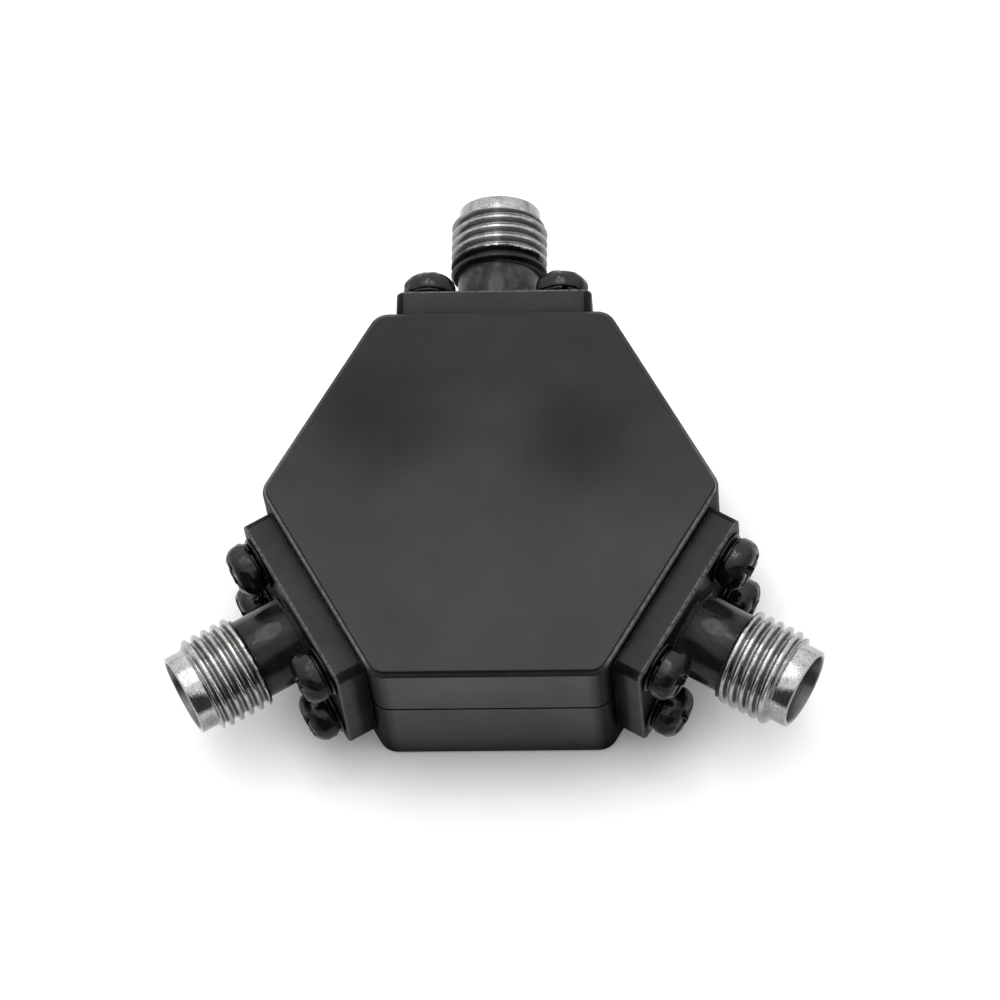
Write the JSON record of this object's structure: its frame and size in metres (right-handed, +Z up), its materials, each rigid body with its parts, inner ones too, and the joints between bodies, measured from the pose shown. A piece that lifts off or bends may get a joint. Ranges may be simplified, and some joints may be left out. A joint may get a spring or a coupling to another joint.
{
  "type": "rf power splitter",
  "caption": "Hexagonal coaxial power splitter: a flat black metal housing with flange-mounted threaded sockets that divides a radio signal between equal outputs.",
  "frame": {"origin": "middle of the flat underside, on the housing's three-fold axis", "axes": "+Z up through the cover, +Y out along the rear (common) port; the left port points 120 degrees round from it and the right port 120 degrees the other way"},
  "size_m": [0.0424, 0.0366, 0.013],
  "materials": {
    "housing_paint": "satin black paint over machined aluminium",
    "connector_steel": "turned stainless steel, the flange and neck painted satin black",
    "painted_fastener": "black paint over steel, pooled at the edges",
    "white_insulator": "waxy white fluoropolymer",
    "gold_contact": "gold plated, bright",
    "black_resin": "cured resin under satin black paint",
    "board_laminate": "pale glass-filled laminate",
    "copper_trace": "gold flashed copper",
    "resistor_ceramic": "black film on white ceramic",
    "board_screw_steel": "plain steel"
  },
  "bodies": {
    "root": {"circuit_board": "board_laminate", "left_board_screw": "board_screw_steel", "left_centre_contact": "gold_contact", "left_connector_shell": "connector_steel", "left_dielectric": "white_insulator", "left_flange_screw_lower_a": "painted_fastener", "left_flange_screw_lower_b": "painted_fastener", "left_flange_screw_upper_a": "painted_fastener", "left_flange_screw_upper_b": "painted_fastener", "left_flat_washers": "painted_fastener", "left_resin_plug": "black_resin", "left_resistor": "resistor_ceramic", "left_spring_washers": "painted_fastener", "left_trace": "copper_trace", "lower_housing": "housing_paint", "rear_board_screw": "board_screw_steel", "rear_centre_contact": "gold_contact", "rear_connector_shell": "connector_steel", "rear_dielectric": "white_insulator", "rear_flange_screw_lower_a": "painted_fastener", "rear_flange_screw_lower_b": "painted_fastener", "rear_flange_screw_upper_a": "painted_fastener", "rear_flange_screw_upper_b": "painted_fastener", "rear_flat_washers": "painted_fastener", "rear_resin_plug": "black_resin", "rear_resistor": "resistor_ceramic", "rear_spring_washers": "painted_fastener", "rear_trace": "copper_trace", "right_board_screw": "board_screw_steel", "right_centre_contact": "gold_contact", "right_connector_shell": "connector_steel", "right_dielectric": "white_insulator", "right_flange_screw_lower_a": "painted_fastener", "right_flange_screw_lower_b": "painted_fastener", "right_flange_screw_upper_a": "painted_fastener", "right_flange_screw_upper_b": "painted_fastener", "right_flat_washers": "painted_fastener", "right_resin_plug": "black_resin", "right_resistor": "resistor_ceramic", "right_spring_washers": "painted_fastener", "right_trace": "copper_trace", "star_trace": "copper_trace", "upper_cover": "housing_paint"}
  },
  "joints": []
}
